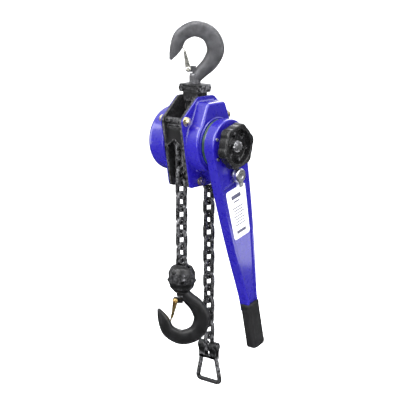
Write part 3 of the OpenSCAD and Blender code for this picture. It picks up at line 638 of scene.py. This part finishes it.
top_bowl = Vector((0, 0, -BOWL_R))
bottom_bowl = Vector((0, LOAD_Y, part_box("bottom_hook")[0].z / MM + BOWL_R + HOOK_BELLY))
top_plane = axes(ACROSS, -UP, AHEAD, top_bowl)
bottom_plane = axes(ACROSS, UP, AHEAD, bottom_bowl)
PASS_GAP = 0.15
top_shoulder = top_bowl.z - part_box("yoke_front")[1].z / MM - PASS_GAP
bottom_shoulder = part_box("hook_block_front")[0].z / MM - bottom_bowl.z - PASS_GAP
hook("top_hook", "top_hook", top_plane, top_shoulder, "hook_grey")
hook("bottom_hook", "bottom_hook", bottom_plane, bottom_shoulder, "hook_black")
latch("top_latch", "top_latch", top_plane, "latch_zinc")
latch("bottom_latch", "bottom_latch", bottom_plane, "latch_gold")
latch_pin("top_latch_pin", "top_hook", top_plane, "latch_zinc")
latch_pin("bottom_latch_pin", "bottom_hook", bottom_plane, "latch_gold")
latch_spring("top_latch_spring", "top_hook", top_plane)
latch_spring("bottom_latch_spring", "bottom_hook", bottom_plane)

# ---------- chain ----------

WIRE_D, PITCH, LINK_W, LINK_REACH = 8, 24, 27, 16.3
BEND_R = (LINK_W - WIRE_D) / 2
LINK_STRAIGHT = LINK_REACH - BEND_R
LINK_END = LINK_REACH + WIRE_D / 2
LINK_TURN = math.radians(36)


def link_line():
    """The wire's centre line, in X-Z, and how much its weld swells each point of it."""
    line = arc(BEND_R, 0, 180, 14, 0, LINK_STRAIGHT) + arc(BEND_R, 180, 360, 14, 0, -LINK_STRAIGHT)
    weld = [Vector((BEND_R, LINK_STRAIGHT * f)) for f in (-0.55, -0.25, -0.1, 0.1, 0.25, 0.55)]
    line = line + weld
    return [Vector((p.x, 0, p.y)) for p in line], [1.0] * (len(line) - 5) + [1.02, 1.05, 1.05, 1.02, 1.0]


def add_link(shape, place):
    line, swell = link_line()

    def section(i, share):
        return oval(WIRE_D * swell[i], WIRE_D * swell[i], 16)
    shape.tube(line, Vector((0, 1, 0)), section, True, place)


def hanging_chain(node, y, first):
    """Links below each other; odd links stand along Y."""
    low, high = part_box(node)
    count = round(((high.z - low.z) / MM - 2 * LINK_END) / PITCH) + 1
    shape = Shape()
    for k in range(count):
        z = high.z / MM - LINK_END - k * PITCH
        quarter = math.radians(90) * ((first + k) % 2)
        add_link(shape, Matrix.Translation((0, y, z)) @ Matrix.Rotation(quarter, 4, "Z"))
    shape.piece(node, node, LOOKS["chain_black"], [node], 60)


for node, y, first in (("load_chain_lead", LOAD_Y, 1), ("load_chain", LOAD_Y, 4),
                       ("tail_chain_lead", TAIL_Y, 1), ("tail_chain", TAIL_Y, 4)):
    hanging_chain(node, y, first)

# Links on the sheave: flat ones, and others that stand between them. Known fault: the top of the
# box belongs to a standing link, so flat_apothem is too large and every link stands about 7 mm too
# far out, over the sheave's pockets. In part.scad flat_apothem is 35.5 and edge_apothem 38.3.
flat_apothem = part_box("sheave_links")[1].z / MM - SHAFT.z - WIRE_D / 2
edge_apothem = (math.hypot(LINK_REACH, flat_apothem)
                * math.cos(LINK_TURN - math.atan2(LINK_REACH, flat_apothem)))
seated = Shape(at_shaft)
for i in range(5):
    lying = (Matrix.Rotation((i - 2) * LINK_TURN, 4, "X")
             @ Matrix.Translation((0, 0, edge_apothem if i % 2 else flat_apothem))
             @ Matrix.Rotation(math.radians(90), 4, "X")
             @ Matrix.Rotation(math.radians(90) * (i % 2), 4, "Z"))
    add_link(seated, lying)
seated.piece("sheave_links", "sheave", LOOKS["chain_black"], ["sheave_links"], 60)

# End ring: two barrels on the pin, cheeks and a bridge below them, and the bent loop
pin = centre("ring_pin")
RING_BARREL_R, RING_LOW, RING_BRIDGE_T, RING_HALF_T = 9, -25, 6, 5.5
BARREL_X = (5.2, 21.2)
ring = Shape(Matrix.Translation(pin))
shank = [(-RING_HALF_T, -13), (-RING_HALF_T, RING_LOW), (RING_HALF_T, RING_LOW), (RING_HALF_T, -13)]
cheek = arc(RING_BARREL_R, -38, 218, 28) + [Vector(p) for p in shank]
for side in (-1, 1):
    ring.prism(cheek, *sorted((side * BARREL_X[0], side * BARREL_X[1])), 0.9, along_x, 4)
bridge = rounded([(-BARREL_X[1], RING_LOW), (BARREL_X[1], RING_LOW),
                  (BARREL_X[1], RING_LOW + RING_BRIDGE_T), (-BARREL_X[1], RING_LOW + RING_BRIDGE_T)], 1.5)
ring.prism(bridge, -RING_HALF_T, RING_HALF_T, 0.9, along_y)
loop = rounded([(17, -20), (28.5, -71), (-28.5, -71), (-17, -20)], 11, 10)
loop = [Vector((17, -20))] + loop[11:33] + [Vector((-17, -20))]
loop = [Vector((p.x, 0, p.y)) for p in loop]
ring.tube(loop, Vector((0, 1, 0)), lambda i, share: oval(9, 9, 20))
ring.piece("end_ring", "end_ring", LOOKS["black_steel"], ["end_ring"], 45)


# ---------- covers ----------

COUNT = 360
FRAME_EDGE = rounded([(-22, 84), (22, 84), (66, 46), (44, -80), (-44, -80), (-66, 46)], 5)
CROWN = [(-44, 30), (-24, 76), (24, 76), (44, 30)]
FOOT = [(-22, -40), (3, -74), (30, -74), (38, -40)]
GEAR_DRUM_R, BRAKE_DRUM_R = 61, 56
frame_edge = reach([FRAME_EDGE], COUNT, 1)
gear_edge = reach([FRAME_EDGE, (GEAR_DRUM_R, 0, 0)], COUNT, 3)
pad_edge = reach([(BRAKE_DRUM_R, 0, 0), CROWN, FOOT], COUNT, 8)


def ring_at(radii, x, less=0.0):
    """A ring at height x along the shaft; radii is one number or one for each angle."""
    if not isinstance(radii, list):
        radii = [radii] * COUNT
    return level(by_angle(radii, less), x)


def capped(radii, most):
    return [min(r, most) for r in radii]


plate_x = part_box("gear_side_plate")[0].x / MM
cover_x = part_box("gear_cover")[0].x / MM
SHELL_T, FLANGE_T = 3, 2.5
mirrored = at_shaft @ axes((0, 1, 0), (0, 0, 1), (-1, 0, 0))
inner = -plate_x
outer = -cover_x
gear_cover = Shape(mirrored)
gear_cover.loft(soften([
    (ring_at(40, outer - SHELL_T), 0), (ring_at(GEAR_DRUM_R - SHELL_T, outer - SHELL_T), 6),
    (ring_at(GEAR_DRUM_R - SHELL_T, inner), 0), (ring_at(gear_edge, inner), 0.3),
    (ring_at(gear_edge, inner + FLANGE_T), 0.9), (ring_at(GEAR_DRUM_R, inner + FLANGE_T, 0.4), 2.4),
    (ring_at(GEAR_DRUM_R, outer - 1.2, 1.9), 11),
    (ring_at(40, outer - 0.6), 3), (ring_at(37.5, outer - 1.5), 3), (ring_at(12, outer - 0.9), 3),
    (ring_at(9.5, outer), 2), (ring_at(6, outer), 0),
], 6))
gear_cover.piece("gear_cover", "frame", LOOKS["blue_paint"], ["gear_cover"], 50)

BRAKE_FACE_X, NECK_X, SPIGOT_X, PAD_X = 53, 59.5, 64, 51.6
NECK_COVER_R, SPIGOT_R, HUB_HOLE_R = 42, 26, 15.5
drum_face = capped([r - 9.5 for r in pad_edge], 46.8)
brake_cover = Shape(at_shaft @ along_x)
brake_cover.loft(soften([
    (ring_at(frame_edge, inner), 0.3), (ring_at(frame_edge, inner + FLANGE_T), 0.9),
    (ring_at(pad_edge, inner + FLANGE_T), 2.4), (ring_at(pad_edge, PAD_X, 1.4), 4.5),
    (ring_at(drum_face, PAD_X, -0.9), 0.8), (ring_at(drum_face, BRAKE_FACE_X), 1),
    (ring_at(NECK_COVER_R, BRAKE_FACE_X, -0.3), 1.6), (ring_at(NECK_COVER_R, NECK_X), 1.4),
    (ring_at(SPIGOT_R, NECK_X), 0.6), (ring_at(SPIGOT_R, SPIGOT_X), 0.6),
    (ring_at(HUB_HOLE_R, SPIGOT_X), 0.4), (ring_at(HUB_HOLE_R, BRAKE_FACE_X - SHELL_T), 0.5),
    (ring_at(drum_face, BRAKE_FACE_X - SHELL_T), 2), (ring_at(pad_edge, PAD_X - 6, 3.6), 3),
    (ring_at(pad_edge, inner, 3.2), 0),
], 5, True), True)
brake_cover.piece("brake_cover", "frame", LOOKS["blue_paint"], ["brake_cover"], 50)

# Dark green dust seal in the gap between the brake cover and the lever
SEAL_R, SEAL_END_X = 40.5, 59.3
seal = Shape(at_shaft @ along_x)
seal.turned([(SEAL_R, BRAKE_FACE_X + 0.6, 0.2), (44.6, BRAKE_FACE_X + 0.6, 0.8), (44.9, 56, 0.6),
             (43.4, 56.6, 0.5), (44.2, 57.4, 0.5), (43.8, SEAL_END_X, 0.6), (SEAL_R, SEAL_END_X, 0.2)],
            128, closed=True)
seal.piece("dust_seal", "frame", seal_green, (), 50)


# ---------- lever ----------

HEAD_R, LEVER_END = 47, -318
LEVER_EDGE = [(14.3, -334), (15, LEVER_END), (17, -293), (29.5, -197), (39, -101), (44.2, -16)]
LEVER_BACK_X, LEVER_SEAM_X, LEVER_FACE_X, LABEL_X = 60.5, 63, 82, 79.6
right_side = spline(LEVER_EDGE, 9)[:-1]
head = arc(HEAD_R, -20, 200, 84)
lever_edge = right_side + head + [Vector((-p.x, p.y)) for p in reversed(right_side)]

# The trough starts below the head and runs down into the grip
TROUGH_TOP, TROUGH_EDGE, TROUGH_FOOT, TROUGH_CROWN, TROUGH_SMOOTH = -74, 5.2, -321, 5, 10
bottom = right_side[0].y


def half_width(z):
    """Half of the lever's width at a height below the shaft."""
    for a, b in zip(right_side, right_side[1:]):
        if a.y <= z <= b.y:
            return a.x + (b.x - a.x) * (z - a.y) / (b.y - a.y)
    return right_side[-1].x


trough_side = []
for p in right_side:
    z = bottom + (p.y - bottom) / (right_side[-1].y - bottom) * (TROUGH_TOP - bottom)
    foot = max(0.0, (TROUGH_FOOT - z) / (TROUGH_FOOT - bottom))
    trough_side.append(Vector(((half_width(z) - TROUGH_EDGE) * math.sqrt(max(0.003, 1 - foot ** 2)), z)))
trough_top = []
for k in range(len(head)):
    share = k / (len(head) - 1)
    rise = TROUGH_CROWN * math.sin(math.pi * share)
    trough_top.append(Vector((trough_side[-1].x * (1 - 2 * share), TROUGH_TOP + rise)))
trough = trough_side + trough_top + [Vector((-p.x, p.y)) for p in reversed(trough_side)]
for _ in range(TROUGH_SMOOTH):
    between = [(a + 2 * b + c) / 4 for a, b, c in zip(trough, trough[1:], trough[2:])]
    trough = [trough[0]] + between + [trough[-1]]

WALL = 2.5
lever = Shape(in_lever @ along_x)
lever.loft(soften([
    (level(inset(trough, 2.4), LABEL_X - WALL), 0), (level(trough, LABEL_X - WALL), 1),
    (level(inset(lever_edge, WALL), LEVER_FACE_X - WALL), 1.5),
    (level(inset(lever_edge, WALL), LEVER_SEAM_X), 0.4),
    (level(lever_edge, LEVER_SEAM_X), 0.5), (level(lever_edge, LEVER_FACE_X), 3.4),
    (level(trough, LEVER_FACE_X), 1.3), (level(inset(trough, 2.4), LABEL_X), 1.1),
    (level(inset(trough, 4.6), LABEL_X), 0),
], 5), strip=True)
BOSS_BORE_R, BOSS_R, BOSS_TOP_X = 18.05, 36.5, 85.2
lever.turned([(BOSS_BORE_R, LEVER_FACE_X - 1, 0), (BOSS_R, LEVER_FACE_X - 1, 0),
              (BOSS_R, LEVER_FACE_X + 0.15, 0.5),
              (32.6, LEVER_FACE_X + 0.4, 2), (31.5, BOSS_TOP_X, 1.1), (BOSS_BORE_R, BOSS_TOP_X, 0.4)],
             96, closed=True, steps=5)
lever.piece("lever_front_housing", "lever", LOOKS["blue_paint"], ["lever_front_housing"], 50)

back = Shape(in_lever @ along_x)
rim = inset(lever_edge, 0.5)
hole = [p.normalized() * (SPIGOT_R + 0.05) for p in rim]
back.loft(soften([(level(rim, LEVER_BACK_X), 0.9), (level(rim, LEVER_SEAM_X - 0.15), 0.4),
                  (level(hole, LEVER_SEAM_X - 0.15), 0), (level(hole, LEVER_BACK_X), 0)], 3, True), True)
back.piece("lever_back_cover", "lever", LOOKS["blue_paint"], ["lever_back_cover"], 50)

# Label: a blank film with plain bars where print would be
LABEL = [(-28, -83), (-22.5, -180), (22.5, -180), (28, -83)]
label = Shape(in_lever @ along_x)
label.prism(rounded(LABEL, 6), LABEL_X + 0.02, LABEL_X + 0.3, 0.1)
label.piece("label", "lever", LOOKS["label_white"], ["label"], 30)
bars = Shape(in_lever @ along_x)


def bar(y0, y1, z0, z1):
    outline = rounded([(y0, z0), (y1, z0), (y1, z1), (y0, z1)], 0.5, 2)
    bars.prism(outline, LABEL_X + 0.28, LABEL_X + 0.36, 0.05)


bar(-15, 12, -103, -95)
bar(-10, 7, -110, -107)
for i in range(7):
    bar(-16 + (i % 3) * 2, 15 - (i % 2) * 4, -121.6 - 5.6 * i, -119.4 - 5.6 * i)
bar(-13, 13, -171, -165)
bars.piece("label_bars", "lever", label_ink, (), 30)

# Grip: a thick sleeve with flared ends and a shallow panel on each face
GRIP_X, GRIP_TOP, GRIP_END, GRIP_STEPS = (60.5, 84.5), LEVER_END, -413, 40
grip_rings = []
for share in [i / GRIP_STEPS for i in range(GRIP_STEPS + 1)]:
    z = GRIP_TOP + (GRIP_END - GRIP_TOP) * share
    round_end = math.sqrt(max(0.0, 1 - max(0.0, (share - 0.93) / 0.07) ** 2.4))
    round_top = 1 - 0.05 * max(0.0, 1 - share / 0.02)
    flare = 0.6 * math.exp(-((share - 0.05) / 0.03) ** 2) + 0.5 * math.exp(-((share - 0.9) / 0.04) ** 2)
    width = (34.4 + 2 * flare) * (0.62 + 0.38 * round_end) * round_top
    depth = (22.8 + 1.6 * flare) * (0.72 + 0.28 * round_end) * round_top
    panel = 0.7 / (1 + math.exp(-(share - 0.2) * 120)) / (1 + math.exp((share - 0.78) * 120))
    ring_points = []
    for u, w in oval(width, depth, 64, 4.6):
        side = 1 / (1 + math.exp((abs(u) - 10.5) * 3))
        ring_points.append(Vector((sum(GRIP_X) / 2 + w - math.copysign(panel * side, w), u, z)))
    grip_rings.append(ring_points)
grip = Shape(in_lever)
grip.loft(grip_rings)
grip.piece("grip", "lever", LOOKS["rubber"], ["grip"], 45)

# Selector: grooved knob on its shaft, with a finger arm
SELECTOR_DROP = 57
knob = Shape(in_lever @ Matrix.Translation((0, 0, -SELECTOR_DROP)) @ along_x)
knob.turned([(0.3, LEVER_BACK_X, 0), (5, LEVER_BACK_X, 0.3), (5, 86, 0), (11.4, 86, 0.5), (13.1, 87, 0.8),
             (13.1, 89.6, 0.3), (12.2, 90, 0.2), (12.2, 90.8, 0.2), (13.1, 91.2, 0.3), (13.1, 97.6, 1.3),
             (11.2, 99, 0.7), (5.5, 99, 0.4), (4.9, 98.1, 0.3), (0.3, 98.1, 0)], 64)
arm = rounded([(-7, 0), (-5, -22), (5, -22), (7, 0)], 3.2)
knob.prism(arm, 87, 96, 0.9)
for i in range(4):
    low, high = -19.6 + i * 2.4, -18.4 + i * 2.4
    rib = rounded([(-3.6, low), (3.6, low), (3.6, high), (-3.6, high)], 0.4, 2)
    knob.prism(rib, 95.6, 96.5, 0.3)
knob.piece("selector_knob", "selector", LOOKS["bright_zinc"], ["selector_knob"], 40)

# Hand wheel: six lobes round a dish, with ribs from the hub
WHEEL_X = (86, 106)
WHEEL_R, LOBE_R, DISH_R, DISH_X, WHEEL_BORE = 42.5, 14, 30, 94, 6
lobes = [(LOBE_R, (WHEEL_R - LOBE_R) * math.cos(a), (WHEEL_R - LOBE_R) * math.sin(a))
         for a in (math.radians(60 * k + 15) for k in range(6))]
wheel_edge = reach([(WHEEL_R - 3.5, 0, 0), *lobes], COUNT, 6)
wheel = Shape(at_shaft @ along_x)
wheel.loft(soften([
    (ring_at(WHEEL_BORE, WHEEL_X[0]), 0.2), (ring_at(wheel_edge, WHEEL_X[0], 6), 1.5),
    (ring_at(wheel_edge, WHEEL_X[0] + 1.2, 0.2), 3.2), (ring_at(wheel_edge, WHEEL_X[1] - 1.0, 0.6), 3.2),
    (ring_at(DISH_R + 1.5, WHEEL_X[1]), 1.6), (ring_at(DISH_R - 1, DISH_X), 2),
    (ring_at(19, DISH_X), 1.2), (ring_at(17.5, DISH_X + 1.2), 1), (ring_at(14, DISH_X + 1.2), 0.6),
    (ring_at(13.4, DISH_X + 0.1), 0.3), (ring_at(WHEEL_BORE, DISH_X), 0.2),
], 5, True), True)
for k in range(6):
    rib = rounded([(17.4, -1.4), (29.4, -1.8), (29.4, 1.8), (17.4, 1.4)], 0.6, 2)
    wheel.prism(rib, DISH_X - 0.5, DISH_X + 5, 0.6, Matrix.Rotation(math.radians(60 * k + 45), 4, "Z"))
wheel.piece("hand_wheel", "drive", LOOKS["wheel_black"], ["hand_wheel"], 50)

# ---------- CAD nodes that show ----------

STOOD_FOR = {n for o in bpy.context.scene.objects for n in o.get("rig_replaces", [])}
EDGES = {
    "gear_side_plate": 0.7, "brake_side_plate": 0.7, "yoke_front": 0.9, "yoke_rear": 0.9,
    "hook_block_front": 0.9, "hook_block_rear": 0.9, "stay_nuts": 0.4, "chain_guide": 0.5,
    "chain_stripper": 0.8, "stay_bolts": 0.3, "lever_screws": 0.4, "castle_nut": 0.35, "load_sheave": 0.5,
}
PLAIN = {"gear_a", "gear_b", "load_gear", "pawl_springs", "split_pin", "sheave_bushes"}
for part in frame["record"]["subparts"]:
    node = part["node"]
    if node not in STOOD_FOR:
        keep(node, part["material_slot"], 0 if node in PLAIN else EDGES.get(node, 0.3))


# ---------- studio ----------

def area(name, place, target, width, height, power, colour=(1, 1, 1)):
    light = bpy.data.lights.new(name, "AREA")
    light.shape = "RECTANGLE"
    light.size, light.size_y, light.energy, light.color = width, height, power, colour
    obj = bpy.data.objects.new(name, light)
    bpy.context.scene.collection.objects.link(obj)
    obj.location = place
    obj.visible_camera = False
    obj.rotation_euler = (Vector(target) - Vector(place)).to_track_quat("-Z", "Y").to_euler()


def bearing(azimuth, elevation, distance, middle):
    """A point round the object. Azimuth 0 is in front, on the -Y side, and 90 is at +X."""
    a, e = math.radians(azimuth), math.radians(elevation)
    return middle + distance * Vector((math.sin(a) * math.cos(e), -math.cos(a) * math.cos(e), math.sin(e)))


low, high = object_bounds()
middle = (low + high) / 2
FLOOR_GAP, FLOOR_R, WALL_R, WALL_H, BACKDROP_GLOW = 0.09, 3.0, 4.6, 5.0, 0.38
floor_z = (low.z - FLOOR_GAP) / MM
backdrop = Shape()
profile = [(1, floor_z, 0), (FLOOR_R / MM, floor_z, 0)]
profile += [((FLOOR_R + (WALL_R - FLOOR_R) * math.sin(a)) / MM,
             floor_z + (WALL_R - FLOOR_R) * (1 - math.cos(a)) / MM, 0)
            for a in (math.radians(90 * i / 16) for i in range(1, 17))]
profile.append((WALL_R / MM, floor_z + WALL_H / MM, 0))
rings = [(level(circle(r, 96), z), 0) for r, z, _ in profile]
backdrop.loft(soften(rings))
mesh = bpy.data.meshes.new("backdrop")
mesh.from_pydata([p * MM for p in backdrop.points], [], backdrop.faces[:-1])
floor = bpy.data.objects.new("backdrop", mesh)
bpy.context.scene.collection.objects.link(floor)
shade(floor, 60)
pale = Look("pale_backdrop", (0.88, 0.88, 0.89), Roughness=0.85)
pale.colours(pale.noise(3, 4), (0.3, (0.87, 0.87, 0.88)), (0.7, (0.90, 0.90, 0.905)))
pale.set("Emission Color", (1, 1, 1, 1))
pale.set("Emission Strength", BACKDROP_GLOW)
mesh.materials.append(pale.material)
floor.visible_glossy = False

world = bpy.data.worlds.new("studio")
world.use_nodes = True
sky = world.node_tree.nodes["Background"]
sky.inputs["Color"].default_value = (0.96, 0.97, 1.0, 1)
direction = world.node_tree.nodes.new("ShaderNodeTexCoord")
height = world.node_tree.nodes.new("ShaderNodeSeparateXYZ")
level_light = world.node_tree.nodes.new("ShaderNodeMapRange")
world.node_tree.links.new(direction.outputs["Generated"], height.inputs[0])
world.node_tree.links.new(height.outputs["Z"], level_light.inputs["Value"])
for socket, number in (("From Min", -0.2), ("From Max", 0.95), ("To Min", 0.04), ("To Max", 1.5)):
    level_light.inputs[socket].default_value = number
world.node_tree.links.new(level_light.outputs["Result"], sky.inputs["Strength"])
bpy.context.scene.world = world
area("key", bearing(-12, 42, 1.7, middle), middle, 1.0, 1.0, 26)
area("side", bearing(96, 22, 1.6, middle), middle, 0.7, 1.5, 13)
area("left", bearing(-62, 12, 1.8, middle), middle, 0.6, 1.6, 11)
area("back", bearing(200, 40, 1.9, middle), middle, 1.2, 1.2, 18)
area("top", bearing(60, 72, 1.6, middle), middle, 0.9, 0.9, 22)
area("strip_left", bearing(4, 16, 1.9, middle), middle, 0.14, 1.4, 12)
area("strip_right", bearing(72, 30, 1.8, middle), middle, 0.14, 1.2, 8)
area("face", bearing(140, -17, 1.2, middle), middle, 0.5, 0.1, 0.45)

AZIMUTH, ELEVATION, LENS, FILL = 40, 13, 110, 1.07
camera = bpy.data.objects.new("camera", bpy.data.cameras.new("camera"))
bpy.context.scene.collection.objects.link(camera)
camera.data.lens = LENS
half_view = math.atan(camera.data.sensor_width / 2 / LENS)
camera.location = bearing(AZIMUTH, ELEVATION, (high.z - low.z) / 2 * FILL / math.tan(half_view) + 0.1, middle)
camera.rotation_euler = (middle - camera.location).to_track_quat("-Z", "Y").to_euler()
camera.data.clip_start, camera.data.clip_end = 0.01, 50
bpy.context.scene.camera = camera
bpy.context.scene.view_settings.view_transform = "Standard"
